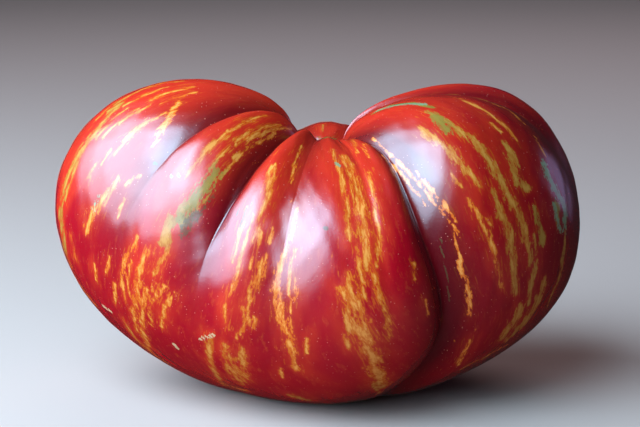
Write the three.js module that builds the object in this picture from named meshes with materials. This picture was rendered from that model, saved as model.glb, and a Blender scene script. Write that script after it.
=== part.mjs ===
// A large heirloom tomato of the ribbed, two-shouldered kind, standing on its
// blossom end. Millimetres, +Z up, +X along the long way of the fruit, -Y is
// the front, where one lobe bulges out under the low side of the crown.
//
// The skin is one closed surface. Twelve furrows run like meridians from the
// stem cavity on top to the underside, and the lobes swell between them. Each
// meridian is a smooth curve through a list of levels: cavity floor, cavity
// wall, crown, shoulder, waist, belly, flat resting ring, blossom dimple.
import * as THREE from 'three';

// Driving dimensions
const halfWidthLeft = 64.3;    // plan outline, from the cavity to each side
const halfWidthRight = 66.4;
const halfDepthFront = 48;
const halfDepthBack = 46;
const outlinePower = 2.1;      // 2 would be an ellipse, more is squarer

const scarHeight = 56;         // floor of the stem cavity
const scarRadius = 6;
const wallRadius = 7;          // narrowest part of the cavity wall
const wallDrop = 12.5;         // how far the wall falls inside a high crown
const dimpleRise = 1.8;        // blossom end, lifted clear of the table

const lumpHeight = 1;          // gentle unevenness of the grown skin

// Furrows, counted round from the front left. Azimuths in degrees from +X
// (90 is the back) near the lip, on the shoulder and below the waist. Depths
// on the cavity wall, lip, shoulder, waist, belly and base.
const furrows = [
  { azimuth: [230, 217, 204], depth: [2.0, 4.5, 4.6, 1.2, 0.2, 0.0] },
  { azimuth: [250, 239, 229], depth: [2.0, 5.0, 6.8, 1.6, 0.4, 0.0] },
  { azimuth: [271, 260, 256], depth: [1.8, 2.2, 2.2, 1.9, 0.9, 0.0] },
  { azimuth: [289, 284, 289], depth: [0.8, 0.2, 0.0, 0.0, 0.0, 0.0] },
  { azimuth: [302, 301, 314], depth: [2.0, 5.5, 7.5, 6.0, 4.8, 2.0] },
  { azimuth: [374, 357, 353], depth: [1.5, 3.0, 3.2, 1.0, 0.5, 0.0] },
  { azimuth: [388, 385, 387], depth: [1.8, 4.5, 5.5, 3.5, 1.5, 0.2] },
  { azimuth: [401, 404, 409], depth: [1.5, 3.5, 3.2, 1.6, 0.8, 0.0] },
  { azimuth: [415, 423, 433], depth: [1.5, 2.3, 5.0, 3.2, 1.6, 0.2] },
  { azimuth: [469, 468, 466], depth: [1.5, 2.3, 4.4, 2.4, 1.0, 0.0] },
  { azimuth: [498, 494, 491], depth: [1.5, 3.0, 3.0, 1.4, 0.6, 0.0] },
  { azimuth: [520, 516, 514], depth: [1.8, 5.0, 6.0, 3.8, 1.8, 0.2] },
];

// Lobes, each from the furrow of the same place to the next one: height and
// radius of the crown, reach of the outline, height of the waist, and where
// across the lobe its ridge runs.
const lobes = [
  { crown: 71.0, radius: 21, reach: 0.965, waist: 37, ridge: 0.38 },
  { crown: 67.0, radius: 17, reach: 0.985, waist: 33, ridge: 0.5 },
  { crown: 65.5, radius: 15, reach: 1.03, waist: 29, ridge: 0.94 },  // front
  { crown: 65.0, radius: 19, reach: 1.01, waist: 31, ridge: 0.25 },
  { crown: 74.4, radius: 33, reach: 0.985, waist: 37, ridge: 0.3 },
  { crown: 74.4, radius: 40, reach: 1.0, waist: 40, ridge: 0.45 },   // right
  { crown: 70.0, radius: 31, reach: 1.0, waist: 40, ridge: 0.5 },
  { crown: 64.0, radius: 23, reach: 1.0, waist: 39, ridge: 0.45 },
  { crown: 64.0, radius: 17, reach: 1.01, waist: 38, ridge: 0.5 },   // back
  { crown: 64.8, radius: 20, reach: 1.0, waist: 39, ridge: 0.55 },
  { crown: 71.0, radius: 27, reach: 1.0, waist: 42, ridge: 0.5 },
  { crown: 77.5, radius: 32, reach: 1.012, waist: 43.5, ridge: 0.5 }, // left
];

const degreesPerColumn = 3.3;  // facet width round the fruit
const rowsPerSpan = [2, 2, 2, 2, 3, 3, 3, 3, 3, 3, 3, 3, 2, 2, 1, 2];

// Small maths
const mix = (a, b, t) => a + (b - a) * t;
const clamp01 = (t) => Math.min(1, Math.max(0, t));
const ease = (t) => t * t * (3 - 2 * t);

// Value at a point round the fruit that passes smoothly through one number
// per lobe, each number holding in the middle of its lobe.
function roundLobes(key, place) {
  const count = lobes.length;
  const shifted = place - 0.5;
  const base = Math.floor(shifted);
  const t = shifted - base;
  const at = (step) => lobes[(base + step + 2 * count) % count][key];
  const [a, b, c, d] = [at(-1), at(0), at(1), at(2)];
  return 0.5 * (2 * b + (c - a) * t + (2 * a - 5 * b + 4 * c - d) * t * t
    + (3 * b - a - 3 * c + d) * t * t * t);
}

// Weights of every level at share v of the way down, for a smooth curve that
// starts at the first level and ends at the last.
function levelWeights(count, v) {
  const inner = count - 3;
  const knot = (i) => Math.min(1, Math.max(0, (i - 3) / inner));
  const x = Math.min(v, 1 - 1e-12);
  let weights = [];
  for (let i = 0; i < count + 3; i++) {
    weights.push(x >= knot(i) && x < knot(i + 1) ? 1 : 0);
  }
  for (let degree = 1; degree <= 3; degree++) {
    const next = [];
    for (let i = 0; i < count + 3 - degree; i++) {
      const left = knot(i + degree) - knot(i);
      const right = knot(i + degree + 1) - knot(i + 1);
      let sum = 0;
      if (left > 0) sum += ((x - knot(i)) / left) * weights[i];
      if (right > 0) sum += ((knot(i + degree + 1) - x) / right) * weights[i + 1];
      next.push(sum);
    }
    weights = next;
  }
  return weights;
}

// Levels down one meridian: radius, height, how much the azimuth follows the
// lip and how much the low part, which furrow depth holds and its share, and
// the share of the skin's unevenness. The azimuth takes the shoulder's value
// for the rest.
function meridianLevels(crown, radius, outer, waist) {
  const inWidth = radius - wallRadius;
  const drop = Math.min(wallDrop, crown - scarHeight - 3);
  const outWidth = outer - radius;
  const rise = crown - waist;
  return [
    [0, scarHeight, 1, 0, 0, 0, 0],                                   // stem scar
    [scarRadius * 0.4, scarHeight - 0.2, 1, 0, 0, 0, 0],
    [scarRadius * 0.9, scarHeight + 0.8, 1, 0, 0, 0, 0],
    [wallRadius, (scarHeight + crown - drop) / 2, 1, 0, 0, 0.8, 0],   // cavity wall
    [radius - 1.0468 * inWidth, crown - drop, 1, 0, 0, 1, 0.2],
    [radius - 0.9066 * inWidth, crown - 0.4766 * drop, 1, 0, 1, 0.8, 0.5],
    [radius - 0.5234 * inWidth, crown - 0.0934 * drop, 0.9, 0, 1, 1, 1],
    [radius, crown + 0.0234 * (drop + rise), 0.6, 0, 1.3, 1, 1],      // crown
    [radius + 0.5234 * outWidth, waist + 0.9066 * rise, 0.25, 0, 2, 1, 1],
    [radius + 0.9066 * outWidth, waist + 0.5234 * rise, 0, 0, 2.5, 1, 1],
    [outer + 0.0434 * outWidth, waist, 0, 0.5, 3, 1, 1],              // waist
    [outer * 0.9, waist * 0.4766, 0, 0.9, 4, 1, 1],
    [outer * 0.56, waist * 0.0934, 0, 1, 5, 1, 0.5],                  // belly
    [outer * 0.36, 0, 0, 1, 5, 0, 0],                                 // resting ring
    [outer * 0.27, 0, 0, 1, 5, 0, 0],
    [outer * 0.2, 0, 0, 1, 5, 0, 0],
    [outer * 0.14, 0, 0, 1, 5, 0, 0],
    [outer * 0.07, dimpleRise * 0.9, 0, 1, 5, 0, 0],                  // blossom dimple
    [0, dimpleRise, 0, 1, 5, 0, 0],
  ];
}
const levelCount = meridianLevels(70, 25, 60, 40).length;

function lump(angle, v) {
  return lumpHeight * (0.3 * Math.sin(5 * angle + 4 * v + 1.3)
    + 0.22 * Math.sin(9 * angle - 6 * v)
    + 0.16 * Math.sin(14 * angle + 11 * v + 0.6));
}

// Smooth profile of one meridian before furrows: radius, height and the rest
// of the level values at share v.
function blend(levels, v) {
  const weights = levelWeights(levelCount, v);
  const out = { radius: 0, height: 0, lip: 0, low: 0, uneven: 0, depth: [0, 0, 0, 0, 0, 0] };
  levels.forEach((level, i) => {
    const w = weights[i];
    out.radius += w * level[0];
    out.height += w * level[1];
    out.lip += w * level[2];
    out.low += w * level[3];
    out.uneven += w * level[6];
    const slot = Math.floor(level[4]);
    const part = level[4] - slot;
    out.depth[slot] += w * level[5] * (1 - part);
    if (part > 0) out.depth[slot + 1] += w * level[5] * part;
  });
  return out;
}

function skinPoint(place, v) {
  const count = furrows.length;
  const lobe = Math.floor(place) % count;
  const across = place - Math.floor(place);
  const here = furrows[lobe];
  const next = furrows[(lobe + 1) % count];
  const turn = lobe === count - 1 ? 360 : 0;
  const azimuth = here.azimuth.map((a, i) => mix(a, next.azimuth[i] + turn, across));

  const shoulder = THREE.MathUtils.degToRad(azimuth[1]);
  const c = Math.cos(shoulder);
  const s = Math.sin(shoulder);
  const halfWidth = c < 0 ? halfWidthLeft : halfWidthRight;
  const halfDepth = s < 0 ? halfDepthFront : halfDepthBack;
  const outline = Math.pow(Math.pow(Math.abs(c / halfWidth), outlinePower)
    + Math.pow(Math.abs(s / halfDepth), outlinePower), -1 / outlinePower);
  const levels = meridianLevels(roundLobes('crown', place), roundLobes('radius', place),
    outline * roundLobes('reach', place), roundLobes('waist', place));
  const profile = blend(levels, v);

  // Furrow section: 1 on the ridge, 0 in the furrow. Shallow furrows are soft
  // waves, deep ones close to a sharp crease.
  const depths = here.depth.map((d, i) => mix(d, next.depth[i], ease(across)));
  const depth = depths.reduce((sum, d, i) => sum + d * profile.depth[i], 0);
  const ridge = lobes[lobe].ridge;
  const off = across < ridge ? (ridge - across) / ridge : (across - ridge) / (1 - ridge);
  const soft = 0.5 + 0.5 * Math.cos(Math.PI * off);
  const sharp = Math.pow(Math.max(0, 1 - Math.pow(off, 1.8)), 0.75);
  const swell = mix(soft, sharp, ease(clamp01((depth - 0.8) / 4.5)));

  const angle = THREE.MathUtils.degToRad(profile.lip * azimuth[0]
    + (1 - profile.lip - profile.low) * azimuth[1] + profile.low * azimuth[2]);
  const push = -(1 - swell) * depth + profile.uneven * lump(angle, v);

  // Move along the normal of the smooth profile.
  const step = 0.002;
  const before = blend(levels, Math.max(0, v - step));
  const after = blend(levels, Math.min(1, v + step));
  const alongRadius = after.radius - before.radius;
  const alongHeight = after.height - before.height;
  const length = Math.hypot(alongRadius, alongHeight) + 1e-12;
  const radius = profile.radius - (push * alongHeight) / length;
  const height = profile.height + (push * alongRadius) / length;
  return [radius * Math.cos(angle), radius * Math.sin(angle), height];
}

// The closed skin: columns round the fruit, packed closer beside the furrows than on the ridges.
const places = [];
furrows.forEach((furrow, i) => {
  const next = furrows[(i + 1) % furrows.length].azimuth[1] + (i === furrows.length - 1 ? 360 : 0);
  const columns = Math.max(7, Math.round((next - furrow.azimuth[1]) / degreesPerColumn));
  for (let k = 0; k < columns; k++) {
    const t = k / columns;
    places.push(i + 0.4 * t + 0.3 * (1 - Math.cos(Math.PI * t)));
  }
});
// Rows down from the stem scar, the two end points left out.
const shares = [];
rowsPerSpan.forEach((rows, span) => {
  for (let k = 0; k < rows; k++) {
    const v = (span + k / rows) / rowsPerSpan.length;
    if (v > 0) shares.push(v);
  }
});

const positions = [];
positions.push(...skinPoint(0, 0));
for (const v of shares) for (const place of places) positions.push(...skinPoint(place, v));
positions.push(...skinPoint(0, 1));

const columnCount = places.length;
const lastPoint = 1 + shares.length * columnCount;
const indices = [];
const at = (row, column) => 1 + row * columnCount + (column % columnCount);
for (let column = 0; column < columnCount; column++) {
  indices.push(0, at(0, column), at(0, column + 1));
  for (let row = 0; row < shares.length - 1; row++) {
    indices.push(at(row, column), at(row + 1, column), at(row + 1, column + 1));
    indices.push(at(row, column), at(row + 1, column + 1), at(row, column + 1));
  }
  indices.push(at(shares.length - 1, column), lastPoint, at(shares.length - 1, column + 1));
}

const skin = new THREE.BufferGeometry();
skin.setAttribute('position', new THREE.Float32BufferAttribute(positions, 3));
skin.setIndex(indices);

// The origin is the middle of the footprint, on the surface the fruit rests on.
skin.computeBoundingBox();
const box = skin.boundingBox;
skin.translate(-(box.min.x + box.max.x) / 2, -(box.min.y + box.max.y) / 2, -box.min.z);
skin.computeVertexNormals();

const material = new THREE.MeshStandardMaterial({ color: 0xc03038, roughness: 0.35, metalness: 0 });
material.name = 'skin';
const tomato = new THREE.Mesh(skin, material);
tomato.name = 'tomato';

const part = new THREE.Group();
part.name = 'ribbed_tomato';
part.add(tomato);
export default part;
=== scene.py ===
import math

import bpy
import numpy as np
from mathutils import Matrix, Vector


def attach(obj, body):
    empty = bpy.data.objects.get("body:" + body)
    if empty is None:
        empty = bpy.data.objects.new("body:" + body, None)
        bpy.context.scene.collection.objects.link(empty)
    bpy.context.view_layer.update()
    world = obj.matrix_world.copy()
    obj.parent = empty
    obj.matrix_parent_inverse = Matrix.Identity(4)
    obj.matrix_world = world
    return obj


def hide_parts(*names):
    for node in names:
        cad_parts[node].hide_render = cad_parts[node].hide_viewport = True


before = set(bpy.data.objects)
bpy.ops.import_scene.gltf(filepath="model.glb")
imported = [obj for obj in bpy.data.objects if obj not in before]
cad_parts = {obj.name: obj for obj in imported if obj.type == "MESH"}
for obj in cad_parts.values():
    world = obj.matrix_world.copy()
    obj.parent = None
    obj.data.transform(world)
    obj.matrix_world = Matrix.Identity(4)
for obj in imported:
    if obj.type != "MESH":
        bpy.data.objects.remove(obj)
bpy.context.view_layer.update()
mm = 0.001
print("frame loaded:", sorted(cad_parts))

# The tomato's shape: the same ribbed form as the CAD solid, on a finer grid.
# Everything is in millimetres until it goes into the mesh.
tomatoShape = {
    "halfWidthLeft": 64.3, "halfWidthRight": 66.4,   # plan outline from the cavity
    "halfDepthFront": 48.0, "halfDepthBack": 46.0,
    "outlinePower": 2.1,
    "scarHeight": 56.0, "scarRadius": 6.0,           # floor of the stem cavity
    "wallRadius": 7.0, "wallDrop": 12.5,
    "dimpleRise": 1.8,                               # blossom end
    "lumpHeight": 1.0,
    "softDepth": 0.8, "sharpWidth": 4.5,             # furrows turn from waves to creases past this depth
    "creasePower": 1.8, "creaseRound": 0.75,
    "columns": 506, "rows": 192, "leastPerLobe": 20,
    "arcSteps": 1500, "slopeStep": 0.002,            # shares of a meridian, for its length and slope
    # furrows from the front left round: azimuth at lip, shoulder and low part
    # in degrees, then depth at wall, lip, shoulder, waist, belly and base
    "furrows": [
        (230, 217, 204, 2.0, 4.5, 4.6, 1.2, 0.2, 0.0),
        (250, 239, 229, 2.0, 5.0, 6.8, 1.6, 0.4, 0.0),
        (271, 260, 256, 1.8, 2.2, 2.2, 1.9, 0.9, 0.0),
        (289, 284, 289, 0.8, 0.2, 0.0, 0.0, 0.0, 0.0),
        (302, 301, 314, 2.0, 5.5, 7.5, 6.0, 4.8, 2.0),
        (374, 357, 353, 1.5, 3.0, 3.2, 1.0, 0.5, 0.0),
        (388, 385, 387, 1.8, 4.5, 5.5, 3.5, 1.5, 0.2),
        (401, 404, 409, 1.5, 3.5, 3.2, 1.6, 0.8, 0.0),
        (415, 423, 433, 1.5, 2.3, 5.0, 3.2, 1.6, 0.2),
        (469, 468, 466, 1.5, 2.3, 4.4, 2.4, 1.0, 0.0),
        (498, 494, 491, 1.5, 3.0, 3.0, 1.4, 0.6, 0.0),
        (520, 516, 514, 1.8, 5.0, 6.0, 3.8, 1.8, 0.2),
    ],
    # lobes, each from the furrow of the same place on: crown height, crown
    # radius, reach, waist height, place of the ridge across the lobe
    "lobes": [
        (71.0, 21, 0.965, 37, 0.38), (67.0, 17, 0.985, 33, 0.50),
        (65.5, 15, 1.03, 29, 0.94), (65.0, 19, 1.01, 31, 0.25),
        (74.4, 33, 0.985, 37, 0.30), (74.4, 40, 1.0, 40, 0.45),
        (70.0, 31, 1.0, 40, 0.50), (64.0, 23, 1.0, 39, 0.45),
        (64.0, 17, 1.01, 38, 0.50), (64.8, 20, 1.0, 39, 0.55),
        (71.0, 27, 1.0, 42, 0.50), (77.5, 32, 1.012, 43.5, 0.50),
    ],
}
shape = tomatoShape
furrows = np.array(shape["furrows"], float)
lobes = np.array(shape["lobes"], float)
lobeCount = len(furrows)


# Smooth step: 3 t squared minus 2 t cubed, held to 0 and 1 outside.
def ease(t):
    t = np.clip(t, 0, 1)
    return t * t * (3 - 2 * t)


# Weight of each level at each share of the way down: the cubic B-spline
# recurrence on equal knots, clamped at both ends.
def levelWeights(count, share):
    knots = np.concatenate([[0, 0, 0], np.linspace(0, 1, count - 2), [1, 1, 1]])
    x = np.clip(share, 0, 1 - 1e-12)[:, None]
    weights = ((x >= knots[:-1]) & (x < knots[1:])).astype(float)
    for degree in (1, 2, 3):
        a, b = knots[:-degree - 1], knots[1:-degree]
        c, d = knots[degree:-1], knots[degree + 1:]
        left = np.divide(x - a, c - a, out=np.zeros((len(x), len(a))), where=c > a)
        right = np.divide(d - x, d - b, out=np.zeros((len(x), len(b))), where=d > b)
        weights = left * weights[:, :-1] + right * weights[:, 1:]
    return weights


# A value that runs smoothly round the fruit through one number per lobe, each
# held at the middle of its lobe: the Catmull-Rom cubic.
def roundLobes(column, place):
    base = np.floor(place - 0.5).astype(int)
    t = place - 0.5 - base
    a, b, c, d = [lobes[(base + k) % lobeCount, column] for k in (-1, 0, 1, 2)]
    return 0.5 * (2 * b + (c - a) * t + (2 * a - 5 * b + 4 * c - d) * t ** 2
                  + (3 * b - a - 3 * c + d) * t ** 3)


# Levels down a meridian: radius, height, how far the azimuth follows the lip
# and the low part, which furrow depth holds and its share, unevenness. The long
# decimals are the places of control points that draw quarter ellipses.
def meridianLevels(crown, radius, outer, waist):
    none = np.zeros_like(crown)
    floor, wall = shape["scarHeight"], shape["wallRadius"]
    inWidth = radius - wall
    drop = np.minimum(shape["wallDrop"], crown - floor - 3)
    outWidth, rise = outer - radius, crown - waist
    return [
        (none, none + floor, 1, 0, 0, 0, 0),                             # stem scar
        (none + shape["scarRadius"] * 0.4, none + floor - 0.2, 1, 0, 0, 0, 0),
        (none + shape["scarRadius"] * 0.9, none + floor + 0.8, 1, 0, 0, 0, 0),
        (none + wall, (floor + crown - drop) / 2, 1, 0, 0, 0.8, 0),      # cavity wall
        (radius - 1.0468 * inWidth, crown - drop, 1, 0, 0, 1, 0.2),
        (radius - 0.9066 * inWidth, crown - 0.4766 * drop, 1, 0, 1, 0.8, 0.5),
        (radius - 0.5234 * inWidth, crown - 0.0934 * drop, 0.9, 0, 1, 1, 1),
        (radius, crown + 0.0234 * (drop + rise), 0.6, 0, 1.3, 1, 1),     # crown
        (radius + 0.5234 * outWidth, waist + 0.9066 * rise, 0.25, 0, 2, 1, 1),
        (radius + 0.9066 * outWidth, waist + 0.5234 * rise, 0, 0, 2.5, 1, 1),
        (outer + 0.0434 * outWidth, waist, 0, 0.5, 3, 1, 1),             # waist
        (outer * 0.9, waist * 0.4766, 0, 0.9, 4, 1, 1),
        (outer * 0.56, waist * 0.0934, 0, 1, 5, 1, 0.5),                 # belly
        (outer * 0.36, none, 0, 1, 5, 0, 0),                             # resting ring
        (outer * 0.27, none, 0, 1, 5, 0, 0),
        (outer * 0.2, none, 0, 1, 5, 0, 0),
        (outer * 0.14, none, 0, 1, 5, 0, 0),
        (outer * 0.07, none + shape["dimpleRise"] * 0.9, 0, 1, 5, 0, 0), # blossom dimple
        (none, none + shape["dimpleRise"], 0, 1, 5, 0, 0),
    ]


# Gentle unevenness: three sine waves round the fruit that turn on the way down.
def lump(angle, share):
    return shape["lumpHeight"] * (0.3 * np.sin(5 * angle + 4 * share + 1.3)
                                  + 0.22 * np.sin(9 * angle - 6 * share)
                                  + 0.16 * np.sin(14 * angle + 11 * share + 0.6))


# The skin for every place round the fruit and share of the way down. A meridian
# is the smooth curve through its levels, turned to its azimuth, then pushed in
# along its normal by the furrow's depth times one minus the lobe's swell.
def skinSurface(place, share):
    lobe = np.floor(place).astype(int) % lobeCount
    across = place - np.floor(place)
    after = (lobe + 1) % lobeCount
    turn = np.where(lobe == lobeCount - 1, 360.0, 0.0)[:, None]
    azimuth = furrows[lobe, :3] + (furrows[after, :3] + turn - furrows[lobe, :3]) * across[:, None]
    soft = ease(across)[:, None]
    depths = furrows[lobe, 3:] * (1 - soft) + furrows[after, 3:] * soft

    shoulder = np.radians(azimuth[:, 1])
    c, s = np.cos(shoulder), np.sin(shoulder)
    halfWidth = np.where(c < 0, shape["halfWidthLeft"], shape["halfWidthRight"])
    halfDepth = np.where(s < 0, shape["halfDepthFront"], shape["halfDepthBack"])
    power = shape["outlinePower"]
    outline = (np.abs(c / halfWidth) ** power + np.abs(s / halfDepth) ** power) ** (-1 / power)
    levels = meridianLevels(roundLobes(0, place), roundLobes(1, place),
                            outline * roundLobes(2, place), roundLobes(3, place))
    radii = np.stack([level[0] for level in levels], 1)
    heights = np.stack([level[1] for level in levels], 1)
    weights = levelWeights(len(levels), share)
    lip, low, uneven = [weights @ np.array([level[k] for level in levels], float) for k in (2, 3, 6)]
    depthPlace = np.array([level[4] for level in levels], float)
    depthShare = np.array([level[5] for level in levels], float)
    slots = np.maximum(0, 1 - np.abs(depthPlace[:, None] - np.arange(6)[None])) * depthShare[:, None]
    depth = depths @ (weights @ slots).T

    ridge = lobes[lobe, 4]
    off = np.where(across < ridge, (ridge - across) / ridge, (across - ridge) / (1 - ridge))
    wave = (0.5 + 0.5 * np.cos(np.pi * off))[:, None]
    crease = (np.maximum(0, 1 - off ** shape["creasePower"]) ** shape["creaseRound"])[:, None]
    sharpness = ease((depth - shape["softDepth"]) / shape["sharpWidth"])
    swell = wave * (1 - sharpness) + crease * sharpness

    angle = np.radians(azimuth @ np.stack([lip, 1 - lip - low, low]))
    push = -(1 - swell) * depth + uneven * lump(angle, share)
    before = levelWeights(len(levels), np.maximum(0, share - shape["slopeStep"])).T
    beyond = levelWeights(len(levels), np.minimum(1, share + shape["slopeStep"])).T
    alongRadius = radii @ (beyond - before)
    alongHeight = heights @ (beyond - before)
    length = np.hypot(alongRadius, alongHeight) + 1e-12
    smoothRadius, smoothHeight = radii @ weights.T, heights @ weights.T
    radius = smoothRadius - push * alongHeight / length
    height = smoothHeight + push * alongRadius / length
    points = np.stack([radius * np.cos(angle), radius * np.sin(angle), height], -1)
    down = np.concatenate([np.zeros((len(place), 1)),
                           np.cumsum(np.hypot(np.diff(smoothRadius), np.diff(smoothHeight)), 1)], 1)
    return points, down, (1 - swell) * depth


# columns closer together beside the furrows, rows at equal steps of arc length
shoulderTurns = np.append(furrows[:, 1], furrows[0, 1] + 360)
perLobe = np.round(np.diff(shoulderTurns) / 360 * shape["columns"])
perLobe = np.maximum(shape["leastPerLobe"], perLobe).astype(int)
place = np.concatenate([lobe + 0.4 * t + 0.3 * (1 - np.cos(np.pi * t))
                        for lobe, t in enumerate([np.arange(n) / n for n in perLobe])])
fineShare = np.linspace(0, 1, shape["arcSteps"])
arc = skinSurface(np.arange(lobeCount) + 0.5, fineShare)[1].mean(0)
share = np.interp(np.linspace(0, arc[-1], shape["rows"]), arc, fineShare)
skinGrid, downGrid, furrowGrid = skinSurface(place, share)
columnCount, rowCount = skinGrid.shape[:2]

low, high = skinGrid.reshape(-1, 3).min(0), skinGrid.reshape(-1, 3).max(0)
footprint = np.array([(low[0] + high[0]) / 2, (low[1] + high[1]) / 2, low[2]])
skinGrid = skinGrid - footprint


# A value per grid point in the mesh's vertex order: all the rows between the
# two poles, then the top pole and the bottom pole.
def gridValues(values):
    inner = np.swapaxes(values[:, 1:-1], 0, 1).reshape((-1,) + values.shape[2:])
    return np.concatenate([inner, values[:1, 0], values[:1, -1]])


# Outward unit normals: the step down the skin crossed with the step round it.
def gridNormals(points):
    normal = np.cross(np.gradient(points, axis=1), np.roll(points, -1, 0) - np.roll(points, 1, 0))
    normal[:, 0], normal[:, -1] = (0, 0, 1), (0, 0, -1)
    return normal / np.linalg.norm(normal, axis=-1, keepdims=True)


skinPoints = gridValues(skinGrid)
skinNormals = gridValues(gridNormals(skinGrid))
skinDown = gridValues(downGrid)
skinFurrow = gridValues(furrowGrid)
skinUp = gridValues(downGrid[:, -1:] - downGrid)
print("skin grid:", columnCount, "columns,", rowCount, "rows")

# The camera stands where the photograph was taken from.
cameraSettings = {
    "imageSize": (640, 427), "sensor": 36.0, "focalPixels": 2262.0, "elevation": 12.0,
    "distance": 560.0, "target": (0.0, 0.0, 38.0),   # millimetres, before the footprint is centred
    "centre": (319.0, 236.0),                        # where the target falls in the image
}
view = cameraSettings
imageWidth, imageHeight = view["imageSize"]
tilt = math.radians(view["elevation"])
viewForward = np.array([0, math.cos(tilt), -math.sin(tilt)])
viewUp = np.array([0, math.sin(tilt), math.cos(tilt)])
viewPlace = np.array(view["target"]) - footprint - viewForward * view["distance"]

cameraData = bpy.data.cameras.new("studioCamera")
cameraData.sensor_width = view["sensor"]
cameraData.lens = view["focalPixels"] * view["sensor"] / imageWidth
cameraData.shift_x = (imageWidth / 2 - view["centre"][0]) / imageWidth
cameraData.shift_y = (view["centre"][1] - imageHeight / 2) / imageWidth
cameraData.clip_start, cameraData.clip_end = 0.01, 50
studioCamera = bpy.data.objects.new("studioCamera", cameraData)
studioCamera.location = viewPlace * mm
studioCamera.rotation_euler = (math.pi / 2 - tilt, 0, 0)
bpy.context.scene.collection.objects.link(studioCamera)
bpy.context.scene.camera = studioCamera

# where each point of the skin falls in the photograph, and whether it faces it
fromCamera = skinPoints - viewPlace
depthAway = fromCamera @ viewForward
pixelX = view["centre"][0] + view["focalPixels"] * fromCamera[:, 0] / depthAway
pixelY = view["centre"][1] - view["focalPixels"] * (fromCamera @ viewUp) / depthAway
facing = -(skinNormals * fromCamera).sum(1) / np.linalg.norm(fromCamera, axis=1)

# The grain of the skin. Streaks run down the fruit beside the furrows, and lean
# to a meeting point right of the middle underneath. Left of that point they go
# straight down for longer, so the sideways part counts for less there.
grain = {
    "lean": 11.4, "leanFrom": 44.0,          # meeting point's offset, height where the lean begins
    "leanInner": 8.0, "leanWidth": 26.0,     # no lean this near the blossom end
    "straighter": 0.48, "leftOf": 15.5,      # how much less the sideways part counts, and left of where
    "radius": 57.0,                          # so that a step round the waist is about a millimetre
}
columnTurn = np.radians(np.interp(place, np.arange(lobeCount + 1), shoulderTurns))
skinTurn = gridValues(np.repeat(columnTurn[:, None], rowCount, 1))
fromAxis = np.hypot(skinPoints[:, 0] + footprint[0], skinPoints[:, 1] + footprint[1])
leaning = ((1 - ease(skinPoints[:, 2] / grain["leanFrom"]))
           * ease((fromAxis - grain["leanInner"]) / grain["leanWidth"]))
grainX, grainY = fromAxis * np.cos(skinTurn), fromAxis * np.sin(skinTurn)
grainX = grainX - leaning * (grain["lean"] - grain["straighter"] * np.maximum(grain["leftOf"] - grainX, 0))
grainAzimuth = np.arctan2(grainY, grainX)
grainAway = np.hypot(grainX, grainY)


# How markings are laid on the skin from pixels.
tracing = {
    "facing": 0.03, "nearPixels": 5.0,           # points that count as near a pixel
    "depthWeight": 0.6, "depthSlack": 2.0,       # how points further back than this lose
    "step": 6.0,                                 # pixels from station to station
}


# The skin's point behind a pixel of the photograph: of the points that face the
# camera near that pixel, the one nearest both to it and to the camera.
def spotOnSkin(x, y):
    away = np.where(facing > tracing["facing"], np.hypot(pixelX - x, pixelY - y), 1e9)
    near = np.flatnonzero(away < max(tracing["nearPixels"], away.min() + 1))
    behind = np.maximum(0, depthAway[near] - depthAway[near].min() - tracing["depthSlack"])
    return skinPoints[near[np.argmin(away[near] + tracing["depthWeight"] * behind)]]


# A marking's path on the skin, from pixels of the photograph along it: evenly
# spaced stations, each set on the skin, smoothed once.
def traced(pixels):
    pixels = np.array(pixels, float)
    stations = np.append(0, np.cumsum(np.hypot(*np.diff(pixels, axis=0).T)))
    at = np.linspace(0, stations[-1], max(2, int(round(stations[-1] / tracing["step"])) + 1))
    path = np.array([spotOnSkin(x, y) for x, y in zip(np.interp(at, stations, pixels[:, 0]),
                                                      np.interp(at, stations, pixels[:, 1]))])
    path[1:-1] = 0.25 * path[:-2] + 0.5 * path[1:-1] + 0.25 * path[2:]
    return path


# How strongly a band shows: 1 on its path, 0.5 at the half width to each side, 0
# at twice that, from the distance to the nearest piece of the path.
def bandField(path, halfWidths):
    field = np.zeros(len(skinPoints))
    margin = 2 * max(halfWidths) + 1
    inBox = (skinPoints > path.min(0) - margin) & (skinPoints < path.max(0) + margin)
    near = np.flatnonzero(inBox.all(1))
    best = np.zeros(len(near))
    for start, end, wide, narrow in zip(path[:-1], path[1:], halfWidths[:-1], halfWidths[1:]):
        run = end - start
        t = np.clip((skinPoints[near] - start) @ run / max(run @ run, 1e-9), 0, 1)
        away = np.linalg.norm(skinPoints[near] - start - t[:, None] * run, axis=1)
        best = np.maximum(best, 1 - 0.5 * away / (wide + (narrow - wide) * t))
    field[near] = np.clip(best, 0, 1)
    return field


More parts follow.
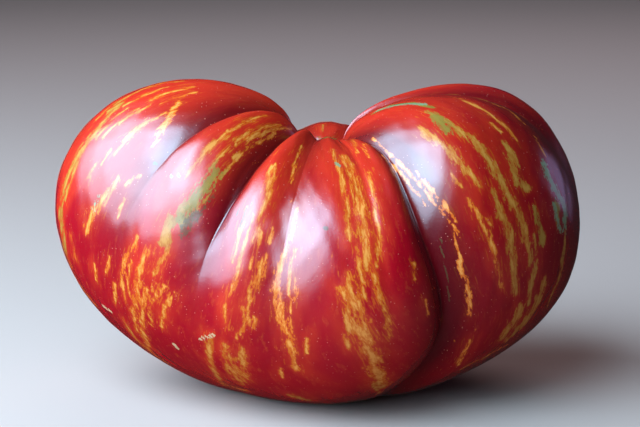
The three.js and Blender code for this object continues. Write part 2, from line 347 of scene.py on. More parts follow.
# Gold streaks, traced down the photograph: greatest width in millimetres, how
# green it is, and pixels along it.
streaksSeen = [
    # left lobe, from its rim inwards
    (2.2, 0.5, [(122, 103), (104, 120), (93, 135), (74, 161), (63, 191), (61, 218), (66, 254)]),
    (0.9, 0.2, [(141, 90), (115, 102), (95, 120)]),
    (0.8, 0.1, [(182, 81), (160, 83), (138, 91)]),
    (1.0, 0.0, [(194, 86), (171, 92), (150, 100)]),
    (1.6, 0.0, [(178, 102), (168, 118), (160, 132), (154, 145)]),
    (0.8, 0.1, [(139, 109), (120, 122), (102, 137)]),
    (1.3, 0.1, [(165, 113), (145, 124), (126, 139), (115, 155)]),
    (1.6, 0.1, [(96, 165), (92, 172), (89, 179)]),
    (2.0, 0.1, [(119, 178), (108, 192), (100, 205), (88, 220), (86, 232)]),
    (1.1, 0.1, [(141, 174), (133, 180), (126, 186)]),
    (0.8, 0.0, [(124, 198), (117, 218)]),
    (0.9, 0.0, [(109, 258), (107, 272)]),
    (0.7, 0.0, [(95, 265), (97, 280)]),
    (1.1, 0.0, [(137, 237), (126, 259), (121, 278), (125, 300)]),
    (1.8, 0.0, [(148, 250), (139, 272), (137, 289), (133, 313), (137, 330)]),
    (1.1, 0.0, [(115, 285), (115, 303)]),
    (2.0, 0.0, [(145, 289), (141, 315), (143, 334), (150, 352)]),
    (1.5, 0.0, [(163, 287), (154, 300)]),
    (1.4, 0.0, [(174, 291), (163, 313), (163, 328)]),
    (1.0, 0.1, [(72, 277), (83, 295), (95, 306)]),
    (1.2, 0.1, [(122, 320), (135, 338), (152, 356), (166, 366)]),
    (0.7, 0.1, [(150, 86), (128, 96), (108, 110)]),
    (0.6, 0.1, [(168, 86), (146, 94), (125, 105)]),
    (0.6, 0.1, [(128, 108), (110, 122), (96, 138)]),
    (0.7, 0.3, [(84, 150), (72, 175), (66, 200)]),
    (0.6, 0.0, [(150, 104), (132, 116)]),
    (0.6, 0.1, [(110, 150), (100, 165)]),
    (0.7, 0.0, [(135, 128), (122, 140)]),
    (0.6, 0.0, [(196, 92), (176, 97), (160, 104)]),
    (0.8, 0.0, [(172, 108), (166, 122), (163, 134)]),
    (0.6, 0.2, [(59, 212), (61, 240), (69, 268)]),
    (0.6, 0.0, [(71, 235), (75, 260)]),
    (0.6, 0.0, [(131, 262), (128, 280), (130, 296)]),
    (0.7, 0.0, [(156, 284), (150, 306), (152, 325)]),
    # second lobe
    (0.6, 0.0, [(292, 128), (270, 131), (250, 138), (236, 147)]),
    (0.7, 0.0, [(228, 130), (214, 142), (204, 155)]),
    (0.7, 0.2, [(240, 155), (226, 168), (216, 182)]),
    (1.6, 0.1, [(172, 235), (161, 256), (154, 274)]),
    (1.1, 0.1, [(169, 216), (158, 242)]),
    (2.0, 0.4, [(180, 209), (171, 226), (163, 241)]),
    (1.3, 0.1, [(213, 141), (202, 157), (189, 174)]),
    (4.0, 0.6, [(217, 172), (202, 191), (189, 209), (180, 224)]),
    (0.9, 0.0, [(267, 115), (241, 124), (224, 137), (210, 148)]),
    (1.0, 0.1, [(282, 124), (256, 129), (237, 139), (219, 157), (210, 170)]),
    (0.9, 0.2, [(276, 133), (254, 144), (234, 157)]),
    # third lobe
    (0.5, 0.0, [(247, 205), (243, 225), (238, 245), (233, 262)]),
    (0.5, 0.0, [(252, 215), (248, 235), (243, 255)]),
    (0.6, 0.0, [(262, 232), (256, 250), (250, 268)]),
    (0.5, 0.0, [(240, 228), (235, 250)]),
    (0.7, 0.0, [(276, 165), (273, 185), (269, 205)]),
    (1.3, 0.0, [(271, 165), (267, 191), (262, 211), (258, 230), (252, 243)]),
    (2.0, 0.0, [(267, 256), (258, 276), (252, 291), (246, 309)]),
    (1.0, 0.0, [(241, 259), (236, 278), (230, 289), (224, 315), (228, 330)]),
    (1.1, 0.0, [(250, 294), (247, 311), (245, 324), (236, 339)]),
    (1.7, 0.1, [(210, 337), (208, 356), (215, 373), (224, 387)]),
    (3.2, 0.1, [(225, 346), (230, 361), (236, 380)]),
    (2.2, 0.1, [(241, 348), (245, 368), (242, 386)]),
    (1.0, 0.0, [(255, 319), (255, 329)]),
    # between the third and the middle lobe
    (1.2, 0.0, [(297, 209), (291, 235), (284, 254), (278, 272), (273, 293)]),
    (0.9, 0.0, [(295, 248), (291, 278), (288, 296)]),
    (2.4, 0.0, [(280, 270), (275, 289), (278, 309), (286, 326), (291, 348), (296, 370)]),
    (1.0, 0.0, [(296, 278), (291, 311)]),
    (0.8, 0.0, [(308, 339), (306, 352)]),
    (1.1, 0.0, [(280, 369), (282, 378)]),
    (0.8, 0.0, [(273, 228), (269, 241)]),
    (0.8, 0.0, [(301, 146), (295, 163), (291, 183)]),
    # middle lobe
    (2.8, 0.0, [(343, 156), (352, 174), (359, 191), (361, 211), (364, 230), (366, 254), (365, 270)]),
    (1.3, 0.0, [(333, 150), (339, 170), (344, 191), (348, 217), (350, 241)]),
    (1.1, 0.0, [(355, 248), (361, 265), (363, 298)]),
    (4.2, 0.0, [(348, 280), (352, 300), (359, 319), (366, 337), (372, 358), (380, 376), (383, 388)]),
    (1.4, 0.0, [(339, 287), (346, 304), (348, 326), (350, 348)]),
    (1.0, 0.0, [(368, 172), (374, 200), (378, 222), (380, 243), (377, 265)]),
    (1.6, 0.0, [(374, 276), (380, 300), (387, 321), (389, 337)]),
    (0.8, 0.0, [(352, 139), (357, 153)]),
    (0.7, 0.0, [(363, 144), (369, 157)]),
    (0.9, 0.0, [(414, 262), (413, 279)]),
    (0.6, 0.0, [(425, 300), (426, 313)]),
    # right lobe, from the deep furrow outwards
    (0.7, 0.0, [(372, 138), (386, 150), (400, 163), (415, 179), (430, 197), (442, 212), (452, 225)]),
    (0.5, 0.0, [(382, 155), (398, 170), (412, 187), (426, 205)]),
    (0.5, 0.0, [(416, 172), (434, 194), (449, 213)]),
    (0.5, 0.0, [(433, 188), (446, 205), (455, 221)]),
    (0.5, 0.0, [(452, 225), (458, 245), (462, 262)]),
    (1.4, 0.0, [(459, 263), (464, 278), (470, 290), (471, 300), (469, 315)]),
    (1.0, 0.1, [(469, 200), (480, 220), (491, 241), (496, 261), (500, 278), (503, 288)]),
    (0.9, 0.1, [(487, 219), (492, 225)]),
    (2.4, 0.4, [(428, 111), (450, 124), (470, 137), (483, 152), (494, 168), (504, 187), (513, 204), (522, 224),
                (528, 243), (531, 262)]),
    (2.2, 0.3, [(418, 128), (435, 139), (450, 152), (459, 163), (472, 174), (481, 186)]),
    (2.2, 0.7, [(434, 115), (448, 131)]),
    (1.1, 0.2, [(450, 174), (461, 184)]),
    (2.6, 0.5, [(504, 143), (513, 161), (516, 180), (528, 189)]),
    (2.2, 0.4, [(494, 191), (498, 209), (507, 224), (511, 241), (513, 259), (513, 278), (515, 292)]),
    (2.0, 0.7, [(535, 208), (539, 226), (544, 244)]),
    (1.2, 0.9, [(543, 163), (550, 180), (558, 193), (566, 208)]),
    (1.8, 0.9, [(556, 204), (559, 227)]),
    (1.1, 0.6, [(567, 222), (565, 248), (560, 278), (548, 306)]),
    (1.6, 0.5, [(533, 235), (535, 261), (533, 278), (528, 304)]),
    (2.8, 0.5, [(545, 280), (537, 304), (522, 326), (507, 339)]),
    (3.2, 0.4, [(521, 308), (511, 326), (502, 338)]),
    (1.0, 0.2, [(508, 345), (485, 358), (460, 370)]),
    (1.0, 0.0, [(471, 341), (463, 354), (458, 365)]),
    (1.4, 0.2, [(478, 94), (493, 100), (508, 109), (518, 116), (526, 125)]),
    (1.1, 0.2, [(459, 98), (476, 105), (493, 116), (506, 126), (517, 140)]),
    (0.8, 0.2, [(491, 122), (502, 133)]),
    (0.7, 0.3, [(535, 137), (545, 154)]),
    (1.5, 0.9, [(374, 112), (391, 105), (413, 102), (432, 107)]),
    # back lobes and low front
    (0.8, 0.2, [(322, 124), (323, 131)]),
    (1.6, 0.3, [(290, 396), (300, 399), (312, 401)]),
    (2.0, 0.4, [(226, 388), (238, 392), (246, 393)]),
    (1.2, 0.2, [(374, 386), (380, 394)]),
]

# How a streak's width tapers to its ends, and what is tinted round it.
streakForm = {
    "endShare": 0.5, "endInset": 0.06, "taper": 0.6,
    "least": 0.12, "halo": 1.6, "greenMargin": 0.8,  # millimetres added to the half width
}

# Streaks where the photograph doesn't reach: drawn at random, with the sizes
# and slants of those that it shows.
streaksUnseen = {
    "seed": 11, "count": 190,
    "width": (0.7, 3.4), "widthPower": 2.2,          # millimetres, most of them near the lower values
    "length": (8.0, 62.0), "lengthPower": 2,
    "start": (9.0, 118.0),                           # down the skin from the stem scar
    "wander": 0.7, "wanderLength": 22.0,
    "least": 0.1, "greenest": 0.35,
    "facing": 0.16, "facingWidth": 0.22,             # they come in where the skin turns from the camera
}

goldField = np.zeros(len(skinPoints))
haloField = np.zeros(len(skinPoints))
greenField = np.zeros(len(skinPoints))
form, unseen = streakForm, streaksUnseen
for width, green, pixels in streaksSeen:
    path = traced(pixels)
    along = form["endInset"] + (1 - 2 * form["endInset"]) * np.linspace(0, 1, len(path))
    swelling = form["endShare"] + (1 - form["endShare"]) * np.sin(np.pi * along) ** form["taper"]
    halfWidths = 0.5 * width * swelling + form["least"]
    goldField = np.maximum(goldField, bandField(path, halfWidths))
    haloField = np.maximum(haloField, bandField(path, halfWidths + form["halo"]))
    greenField = np.maximum(greenField, green * ease(2 * bandField(path, halfWidths + form["greenMargin"])))

draw = np.random.default_rng(unseen["seed"])
hidden = ease((unseen["facing"] - facing) / unseen["facingWidth"])
for turn in draw.uniform(-np.pi, np.pi, unseen["count"]):
    length = unseen["length"][0] + np.diff(unseen["length"])[0] * draw.random() ** unseen["lengthPower"]
    width = unseen["width"][0] + np.diff(unseen["width"])[0] * draw.random() ** unseen["widthPower"]
    start = draw.uniform(*unseen["start"])
    phase = draw.uniform(0, 2 * np.pi)
    green = unseen["greenest"] * draw.random() ** 2
    along = (skinDown - start) / length
    wander = unseen["wander"] * np.sin(skinDown / unseen["wanderLength"] * 2 * np.pi + phase)
    around = (grainAzimuth - turn + np.pi) % (2 * np.pi) - np.pi
    away = np.abs(around * grainAway - wander)
    swelling = np.sqrt(np.maximum(np.sin(np.pi * np.clip(along, 0, 1)), 1e-6))
    halfWidth = 0.5 * width * swelling + unseen["least"]
    inside = hidden * ((along > 0) & (along < 1))
    band = np.clip(1 - 0.5 * away / halfWidth, 0, 1) * inside
    halo = np.clip(1 - 0.5 * away / (halfWidth + form["halo"]), 0, 1) * inside
    goldField = np.maximum(goldField, band)
    haloField = np.maximum(haloField, halo)
    greenField = np.maximum(greenField, green * ease(2 * band))
print("streaks:", len(streaksSeen), "traced,", unseen["count"], "drawn")

# Scars and tints, placed by pixels of the photograph: kind, half width in
# millimetres, strength, pixels along it.
marksSeen = [
    ("cork", 0.7, 1.0, [(104, 306), (111, 311)]),
    ("cork", 0.5, 1.2, [(175, 345), (177, 349)]),
    ("cork", 0.7, 0.9, [(201, 339), (208, 336), (214, 333)]),
    ("russet", 0.3, 1.3, [(154, 163), (157, 164)]),
    ("russet", 0.22, 1.1, [(440, 240), (443, 256), (447, 276), (450, 300)]),
    ("russet", 1.8, 0.9, [(197, 213), (189, 223), (183, 233)]),
    ("russet", 1.2, 0.6, [(212, 196), (203, 206)]),
    ("russet", 0.3, 1.1, [(251, 203), (247, 211), (243, 222), (240, 228)]),
    ("russet", 0.3, 1.1, [(239, 208), (237, 216)]),
    ("russet", 0.35, 1.2, [(325, 228), (327, 229)]),
    ("green", 1.8, 0.9, [(216, 174), (203, 190), (191, 208), (182, 222)]),
    ("green", 1.3, 1.1, [(434, 116), (448, 130)]),
    ("green", 1.0, 1.0, [(322, 138), (334, 136)]),
    ("mint", 0.25, 1.3, [(172, 175), (180, 175)]),
    ("mint", 0.6, 1.1, [(336, 162), (339, 165)]),
    ("mint", 0.8, 1.0, [(376, 110), (391, 105), (413, 103), (424, 104)]),
    ("mint", 1.5, 1.0, [(543, 163), (550, 180), (558, 193), (566, 208), (565, 226)]),
    ("mint", 1.1, 0.9, [(554, 204), (557, 216), (559, 228)]),
    ("mint", 0.8, 0.8, [(97, 198), (93, 208)]),
]
fields = {kind: np.zeros(len(skinPoints)) for kind in ("cork", "russet", "green", "mint")}
for kind, halfWidth, strength, pixels in marksSeen:
    path = traced(pixels)
    fields[kind] = np.maximum(fields[kind], strength * bandField(path, np.full(len(path), halfWidth)))

# The two ends: a corky star where the stem came off, with green shoulders round
# it, and a small corky dot at the blossom end.
endScars = {
    "stemRadius": 4.4, "stemPoint": 0.9, "stemPoints": 5, "stemEdge": 1.0,
    "rim": 0.5, "rimRadius": 3.4, "rimWidth": 0.9,   # relief, up
    "pit": 0.9, "pitWidth": 1.4,                     # relief, down
    "greenFrom": 7.0, "greenTo": 17.0,               # green round the scar, down the skin
    "green": 0.9,
    "rays": [(1.5, 9, 1), (1.0, 23, 0)],             # waves of the green's edge: size, turns, phase
    "blossomRadius": 1.7, "blossomEdge": 0.5,
}
ends = endScars
starEdge = ends["stemRadius"] + ends["stemPoint"] * np.cos(ends["stemPoints"] * grainAzimuth)
stemScar = 1 - ease((skinDown - starEdge + ends["stemEdge"]) / (2 * ends["stemEdge"]))
blossomScar = 1 - ease((skinUp - ends["blossomRadius"] + ends["blossomEdge"]) / (2 * ends["blossomEdge"]))
fields["cork"] = np.maximum(fields["cork"], np.maximum(stemScar, blossomScar))
rays = sum(size * np.sin(turns * grainAzimuth + phase) for size, turns, phase in ends["rays"])
shoulderGreen = 1 - ease((skinDown + rays - ends["greenFrom"]) / (ends["greenTo"] - ends["greenFrom"]))
fields["green"] = np.maximum(fields["green"], ends["green"] * shoulderGreen * (1 - stemScar))

# Fine relief: waves of a few millimetres that make highlights wander, proud
# corky scars and the hollow of the stem scar.
relief = {
    # each wave's height, spacing round and down the skin, and phase
    "waves": [(0.055, 13.0, 17.0, 0.4), (0.04, 7.5, 12.0, 2.1), (0.03, 5.0, 8.0, 4.0)],
    "bend": 2.2,                                     # radians that a wave swings sideways
    "topFade": 20.0,                                 # waves grow over this much skin below the stem
    "lowFrom": 28.0, "lowFade": 44.0,                # and fade towards the blossom end
    "corkHeight": 0.16,
}
fading = ease(skinDown / relief["topFade"]) * ease((skinUp - relief["lowFrom"]) / relief["lowFade"])
height = relief["corkHeight"] * ease(fields["cork"] * 2) * (1 - stemScar)
for size, across, downward, phase in relief["waves"]:
    turns = round(2 * np.pi * grain["radius"] / across)
    swing = relief["bend"] * np.sin(skinDown / downward + phase)
    wave = np.sin(turns * grainAzimuth + swing) * np.cos(2 * np.pi * skinDown / downward + phase)
    height = height + fading * size * wave
height = height + ends["rim"] * np.exp(-((skinDown - ends["rimRadius"]) / ends["rimWidth"]) ** 2)
height = height - ends["pit"] * np.exp(-(skinDown / ends["pitWidth"]) ** 2)
dressedPoints = skinPoints + skinNormals * height[:, None]
dressedPoints[:, 2] = np.maximum(dressedPoints[:, 2], 0)     # the resting spot stays flat on the floor


# Closed skin: a ring of quads per row, and a fan of triangles at each pole.
def skinMesh(name, points):
    inner = rowCount - 2
    row, column = np.meshgrid(np.arange(inner - 1), np.arange(columnCount), indexing="ij")
    beside = (column + 1) % columnCount
    quads = np.stack([row * columnCount + column, (row + 1) * columnCount + column,
                      (row + 1) * columnCount + beside, row * columnCount + beside], -1).reshape(-1, 4)
    ring = np.arange(columnCount)
    besideRing = (ring + 1) % columnCount
    top = np.stack([np.full(columnCount, inner * columnCount), ring, besideRing], -1)
    last = (inner - 1) * columnCount
    bottom = np.stack([last + ring, np.full(columnCount, inner * columnCount + 1), last + besideRing], -1)
    mesh = bpy.data.meshes.new(name)
    mesh.from_pydata((points * mm).tolist(), [], quads.tolist() + top.tolist() + bottom.tolist())
    mesh.update()
    mesh.polygons.foreach_set("use_smooth", np.ones(len(mesh.polygons), bool))
    return mesh


tomatoMesh = skinMesh("tomatoSkin", dressedPoints)
tomatoSkin = bpy.data.objects.new("tomatoSkin", tomatoMesh)
bpy.context.scene.collection.objects.link(tomatoSkin)
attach(tomatoSkin, "root")
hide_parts("tomato")
print("skin:", len(tomatoMesh.vertices), "points, lowest", float(dressedPoints[:, 2].min()), "mm")

# How warm the skin is: orange red on top and round the lips, crimson lower down.
# The right lobes get painted shade: a duller, less orange red, standing for the side away from the lamps.
warmth = {
    "from": 40.0, "to": 70.0,                        # heights
    "cavity": 26.0,                                  # down the skin from the stem scar
    "shadeRightFrom": 5.0, "shadeRightTo": 50.0,             # painted shade grows in to the right of the middle
    "shadeRightCooler": 0.6, "shadeRightDarker": 0.24,                   # shares of painted shade on the right lobes: less warm, and dimmed
    "furrowDepth": 6.0,                              # a furrow this deep gets the full painted shade
}
warmField = np.maximum(ease((skinPoints[:, 2] - warmth["from"]) / (warmth["to"] - warmth["from"])),
                       1 - ease(skinDown / warmth["cavity"]))
# painted shade on the right lobes, the side away from the lamps: less orange and dimmed towards the shade red
paintedShadeRight = ease((skinPoints[:, 0] - warmth["shadeRightFrom"]) / (warmth["shadeRightTo"] - warmth["shadeRightFrom"]))
warmField = warmField * (1 - warmth["shadeRightCooler"] * paintedShadeRight)
# painted shade field: the furrows by their depth, and the right lobes by their share
paintedShadeField = np.clip(skinFurrow / warmth["furrowDepth"] + warmth["shadeRightDarker"] * paintedShadeRight, 0, 1)

# Vectors that the skin's material reads: the grain in millimetres, then three
# shares at a time.
attributes = {
    "grain": (grain["radius"] * np.cos(grainAzimuth), grain["radius"] * np.sin(grainAzimuth), skinDown),
    "streaks": (goldField, haloField, greenField),
    "patches": (fields["cork"], fields["russet"], fields["mint"]),
    # zones: warmth, painted shade of furrows and right lobes, and green round the stem
    "zones": (warmField, paintedShadeField, fields["green"]),
}
for name, columns in attributes.items():
    attribute = tomatoMesh.attributes.new(name, "FLOAT_VECTOR", "POINT")
    attribute.data.foreach_set("vector", np.stack(columns, 1).astype(np.float32).ravel())


# A colour from its sRGB hex code, turned to linear.
def linearColour(code):
    channels = [int(code[i:i + 2], 16) / 255 for i in (1, 3, 5)]
    return tuple(c / 12.92 if c <= 0.04045 else ((c + 0.055) / 1.055) ** 2.4 for c in channels) + (1.0,)


# Adds a node, sets its properties, fills its inputs with values or links, and
# gives back the node, or the output that is asked for.
def addNode(tree, kind, settings=None, inputs=None, output=None):
    node = tree.nodes.new("ShaderNode" + kind)
    for name, value in (settings or {}).items():
        setattr(node, name, value)
    for name, value in (inputs or {}).items():
        if isinstance(value, bpy.types.NodeSocket):
            tree.links.new(value, node.inputs[name])
        else:
            node.inputs[name].default_value = value
    return node if output is None else node.outputs[output]


# A new material, cleared down to one shader that feeds its output.
def newMaterial(name):
    material = bpy.data.materials.new(name)
    material.use_nodes = True
    tree = material.node_tree
    tree.nodes.clear()
    shader = addNode(tree, "BsdfPrincipled")
    addNode(tree, "OutputMaterial", None, {"Surface": shader.outputs[0]})
    return material, tree, shader


skinLook = {
    "colours": {
        # the darkest red is the painted shade colour for the furrows and the right lobes
        "crimson": "#9E0213", "scarlet": "#BC2612", "shadeRed": "#440008", "ember": "#C2441A",
        "gold": "#C2500E", "paleGold": "#DA8236", "green": "#7A6426", "mint": "#6C8A66",
        "cork": "#BC8E68", "russet": "#5A3820", "speck": "#CC705C",
    },
    # noises on the grain: millimetres across and down the skin, detail
    "noise": {
        "ragged": (1.2, 3.6, 3.0),       # breaks the streaks up
        "threads": (0.42, 0.9, 2.0),     # fine fibres at their edges
        "fibres": (0.6, 4.5, 3.0),       # lone flecks of gold
        "brushed": (2.4, 12.0, 2.0),     # faint long streaking of the red
        "cloudy": (9.0, 16.0, 2.0),      # large patches of warmer red
        "blotches": (0.9, 1.6, 3.0),     # edges of scars and tints
    },
    # how much each noise or painted field counts in a mask
    "weights": {
        "edgeBase": -1.71, "raggedOnEdge": 2.3, "threadsOnEdge": 0.9, "haloOnFibre": 0.22,
        "zoneOnWarm": 0.55, "brushedOnWarm": 0.36, "haloOnWarm": 0.35,
        "blotchesOnPatch": 1.2, "threadsOnPatch": 1.2,
    },
    # where each mask begins and where it is full
    "spans": {
        "gold": (0.45, 0.53), "core": (0.55, 1.1), "glow": (-0.05, 0.45), "filament": (0.75, 0.79),
        "warm": (0.68, 1.22), "paintedShade": (0.06, 0.6), "patch": (1.76, 1.9),
    },
    # laid over the crimson in this order: mask, strength, colour
    "layers": [
        ("warm", 0.85, "scarlet"), ("glow", 0.3, "ember"), ("filament", 0.6, "gold"),
        # the first dark red layer is painted shade in the furrows and on the right lobes
        ("paintedShade", 0.8, "shadeRed"), ("gold", 1.0, "streak"), ("green", 0.7, "green"),
        ("mint", 0.75, "mint"), ("russet", 0.8, "russet"), ("speck", 0.7, "speck"), ("cork", 0.95, "cork"),
    ],
    # pale lenticels: millimetres, the share of the radius that is full, the cells left without one
    "speckSpacing": 1.1, "speckRadius": 0.17, "speckCore": 0.3, "speckless": 0.45,
    "cells": 0.5, "cellHeight": 0.02,                # pebbling of the cuticle
    "roughness": 0.38, "corkRoughness": 0.8, "fleshIndex": 1.4, "fleshShine": 0.0,
    "coatWeight": 1.0, "coatOnCork": 0.05, "coatIndex": 1.72, "coatRoughness": 0.25,
}


# Ripe tomato skin: a thin waxy cuticle, grown and never polished, over crimson
# flesh. The wax gives broad satin highlights with a finely pebbled edge, and the
# pigment is striped gold where the skin above the flesh stayed yellow.
def tomatoSkinMaterial(look):
    material, tree, shader = newMaterial("ripeTomatoSkin")
    tone = {name: linearColour(code) for name, code in look["colours"].items()}
    span = {name: {"From Min": start, "From Max": full} for name, (start, full) in look["spans"].items()}
    weight = look["weights"]
    read, mask = {}, {}
    for name in attributes:
        read[name] = addNode(tree, "Attribute", {"attribute_name": name}, None, "Vector")
    streaks, patches, zones = [addNode(tree, "SeparateXYZ", None, {0: read[name]}).outputs
                               for name in ("streaks", "patches", "zones")]
    noise = {}
    for name, (across, along, detail) in look["noise"].items():
        stretched = addNode(tree, "VectorMath", {"operation": "MULTIPLY"},
                            {0: read["grain"], 1: (1 / across, 1 / across, 1 / along)}, 0)
        noise[name] = addNode(tree, "TexNoise", None,
                              {"Vector": stretched, "Scale": 1.0, "Detail": detail, "Roughness": 0.6}, 0)

    # the streak's band, roughened by both noises, cut at its half width
    edge = addNode(tree, "Math", {"operation": "MULTIPLY_ADD"},
                   {0: noise["ragged"], 1: weight["raggedOnEdge"], 2: weight["edgeBase"]}, 0)
    edge = addNode(tree, "Math", {"operation": "MULTIPLY_ADD"},
                   {0: noise["threads"], 1: weight["threadsOnEdge"], 2: edge}, 0)
    golden = addNode(tree, "Math", {"operation": "ADD"}, {0: streaks[0], 1: edge}, 0)
    for name in ("gold", "core", "glow"):
        mask[name] = addNode(tree, "MapRange", {"interpolation_type": "SMOOTHSTEP"},
                             {"Value": golden, **span[name]}, 0)
    # lone filaments, most of them near the streaks
    fibre = addNode(tree, "Math", {"operation": "MULTIPLY_ADD"},
                    {0: streaks[1], 1: weight["haloOnFibre"], 2: noise["fibres"]}, 0)
    mask["filament"] = addNode(tree, "MapRange", {"interpolation_type": "SMOOTHSTEP"},
                               {"Value": fibre, **span["filament"]}, 0)
    # warm and cool red
    warmer = addNode(tree, "Math", {"operation": "MULTIPLY_ADD"},
                     {0: zones[0], 1: weight["zoneOnWarm"], 2: noise["cloudy"]}, 0)
    warmer = addNode(tree, "Math", {"operation": "MULTIPLY_ADD"},
                     {0: noise["brushed"], 1: weight["brushedOnWarm"], 2: warmer}, 0)
    warmer = addNode(tree, "Math", {"operation": "MULTIPLY_ADD"},
                     {0: streaks[1], 1: weight["haloOnWarm"], 2: warmer}, 0)
    mask["warm"] = addNode(tree, "MapRange", {"interpolation_type": "SMOOTHSTEP"},
                           {"Value": warmer, **span["warm"]}, 0)
    # painted shade: the furrows and the right lobes are turned towards a dim red
    mask["paintedShade"] = addNode(tree, "MapRange", None, {"Value": zones[1], **span["paintedShade"]}, 0)
    # ragged patches: the painted share, with the blotchy noise and the threads added to it
    painted = {"cork": patches[0], "russet": patches[1], "mint": patches[2], "green": zones[2]}
    for name, share in painted.items():
        rough = addNode(tree, "Math", {"operation": "MULTIPLY_ADD"},
                        {0: noise["blotches"], 1: weight["blotchesOnPatch"], 2: share}, 0)
        rough = addNode(tree, "Math", {"operation": "MULTIPLY_ADD"},
                        {0: noise["threads"], 1: weight["threadsOnPatch"], 2: rough}, 0)
        mask[name] = addNode(tree, "MapRange", {"interpolation_type": "SMOOTHSTEP"},
                             {"Value": rough, **span["patch"]}, 0)
    # pale specks: round cells of a Voronoi pattern, kept where the cell's own number is high
    objectPlace = addNode(tree, "TexCoord", None, None, "Object")
    cells = addNode(tree, "VectorMath", {"operation": "SCALE"},
                    {0: objectPlace, "Scale": 1000 / look["speckSpacing"]}, 0)
    voronoi = addNode(tree, "TexVoronoi", None, {"Vector": cells, "Scale": 1.0})
    reach = look["speckRadius"] / look["speckSpacing"]
    dot = addNode(tree, "MapRange", {"interpolation_type": "SMOOTHSTEP"},
                  {"Value": voronoi.outputs["Distance"], "From Min": reach,
                   "From Max": look["speckCore"] * reach}, 0)
    cellNumber = addNode(tree, "SeparateColor", None, {0: voronoi.outputs["Color"]}, 0)
    kept = addNode(tree, "Math", {"operation": "GREATER_THAN"}, {0: cellNumber, 1: look["speckless"]}, 0)
    mask["speck"] = addNode(tree, "Math", {"operation": "MULTIPLY"}, {0: dot, 1: kept}, 0)

    # a streak is palest along its core, and green where the pigment never turned
    streakTone = addNode(tree, "Mix", {"data_type": "RGBA"},
                         {0: mask["core"], 6: tone["gold"], 7: tone["paleGold"]}, 2)
    tone["streak"] = addNode(tree, "Mix", {"data_type": "RGBA"},
                             {0: streaks[2], 6: streakTone, 7: tone["green"]}, 2)
    colour = tone["crimson"]
    for name, strength, toneName in look["layers"]:
        amount = addNode(tree, "Math", {"operation": "MULTIPLY"}, {0: mask[name], 1: strength}, 0)
        colour = addNode(tree, "Mix", {"data_type": "RGBA"}, {0: amount, 6: colour, 7: tone[toneName]}, 2)
    tree.links.new(colour, shader.inputs["Base Color"])

    # cork is dry and dull, without the wax
    dull = addNode(tree, "MapRange", None, {"Value": mask["cork"], "To Min": look["roughness"],
                                            "To Max": look["corkRoughness"]}, 0)
    wax = addNode(tree, "MapRange", None, {"Value": mask["cork"], "To Min": look["coatWeight"],
                                           "To Max": look["coatOnCork"]}, 0)
    tree.links.new(dull, shader.inputs["Roughness"])
    tree.links.new(wax, shader.inputs["Coat Weight"])
    shader.inputs["IOR"].default_value = look["fleshIndex"]
    shader.inputs["Specular IOR Level"].default_value = look["fleshShine"]
    shader.inputs["Coat IOR"].default_value = look["coatIndex"]
    shader.inputs["Coat Roughness"].default_value = look["coatRoughness"]

    grit = addNode(tree, "VectorMath", {"operation": "SCALE"},
                   {0: objectPlace, "Scale": 1000 / look["cells"]}, 0)
    pebbles = addNode(tree, "TexNoise", None, {"Vector": grit, "Scale": 1.0, "Detail": 1.0}, 0)
    bump = addNode(tree, "Bump", None,
                   {"Strength": 1.0, "Distance": look["cellHeight"] * mm, "Height": pebbles}, 0)
    tree.links.new(bump, shader.inputs["Normal"])
    tree.links.new(bump, shader.inputs["Coat Normal"])
    return material


tomatoMesh.materials.append(tomatoSkinMaterial(skinLook))
print("skin material ready")

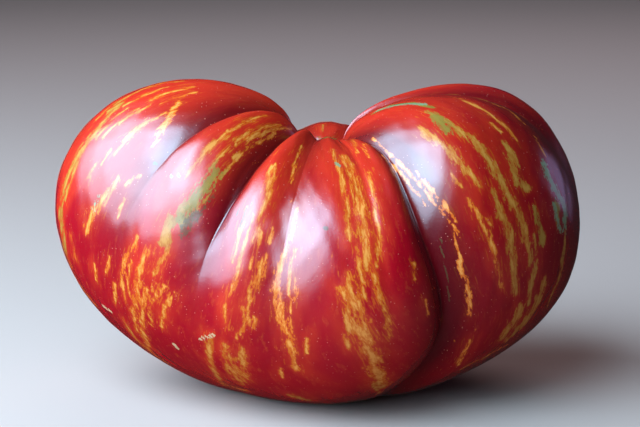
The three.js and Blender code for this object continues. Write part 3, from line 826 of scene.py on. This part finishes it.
# Floor and light: pale paper, a wide softbox from the front left with a bright
# middle, a small one higher up, a fill behind that the wax doesn't mirror, and a
# faint glow on the right.
studio = {
    "floorSize": 24.0, "paperRoughness": 0.85,
    "paper": "#B0968A",                              # warm, so that it looks grey under cool lamps
    "aim": (0.0, 0.0, 0.04),
    # azimuth and elevation in degrees, distance and size in metres
    "lamps": {
        "wideSoftbox": {"azimuth": 209, "elevation": 33, "distance": 0.5, "size": (1.0, 0.76),
                        "watts": 14.0, "colour": "#B2DCFA", "mirrored": True},
        "softboxMiddle": {"azimuth": 208, "elevation": 36, "distance": 0.47, "size": (0.6, 0.4),
                          "watts": 2.8, "colour": "#B2DCFA", "mirrored": True},
        "softboxHigh": {"azimuth": 241, "elevation": 50, "distance": 0.5, "size": (0.4, 0.34),
                        "watts": 2.0, "colour": "#B2DCFA", "mirrored": True},
        "backFill": {"azimuth": 84, "elevation": 46, "distance": 0.9, "size": (0.8, 0.6),
                     "watts": 2.6, "colour": "#F0ECFF", "mirrored": False},
        "sideGlow": {"azimuth": 36, "elevation": 7, "distance": 0.9, "size": (0.45, 0.3),
                     "watts": 0.3, "colour": "#CDBDFF", "mirrored": True},
    },
    "fill": ("#F0F0F2", 0.02),
}
floorMesh = bpy.data.meshes.new("studioFloor")
half = studio["floorSize"] / 2
corners = [(-half, -half, 0), (half, -half, 0), (half, half, 0), (-half, half, 0)]
floorMesh.from_pydata(corners, [], [(0, 1, 2, 3)])
studioFloor = bpy.data.objects.new("studioFloor", floorMesh)
bpy.context.scene.collection.objects.link(studioFloor)
# the wax mirrors the lamps and not the floor, so the red stays deep
studioFloor.visible_glossy = False
# matt backdrop paper: no gloss, so the fruit's shadow stays soft
paper, paperTree, paperShader = newMaterial("matBackdropPaper")
paperShader.inputs["Base Color"].default_value = linearColour(studio["paper"])
paperShader.inputs["Roughness"].default_value = studio["paperRoughness"]
floorMesh.materials.append(paper)


# An oval lamp at an azimuth, elevation and distance, aimed at the fruit.
def areaLamp(name, lamp):
    data = bpy.data.lights.new(name, "AREA")
    data.shape = "ELLIPSE"
    data.size, data.size_y = lamp["size"]
    data.energy = lamp["watts"]
    data.color = linearColour(lamp["colour"])[:3]
    turn, rise = math.radians(lamp["azimuth"]), math.radians(lamp["elevation"])
    away = Vector((math.cos(rise) * math.cos(turn), math.cos(rise) * math.sin(turn), math.sin(rise)))
    thing = bpy.data.objects.new(name, data)
    thing.location = Vector(studio["aim"]) + away * lamp["distance"]
    thing.rotation_euler = (-away).to_track_quat("-Z", "Y").to_euler()
    thing.visible_camera = False
    thing.visible_glossy = lamp["mirrored"]
    bpy.context.scene.collection.objects.link(thing)


for name, lamp in studio["lamps"].items():
    areaLamp(name, lamp)
world = bpy.data.worlds.new("studioFill")
world.use_nodes = True
background = world.node_tree.nodes["Background"]
background.inputs["Color"].default_value = linearColour(studio["fill"][0])
background.inputs["Strength"].default_value = studio["fill"][1]
bpy.context.scene.world = world
bpy.context.scene.view_settings.view_transform = "Standard"
print("studio ready")
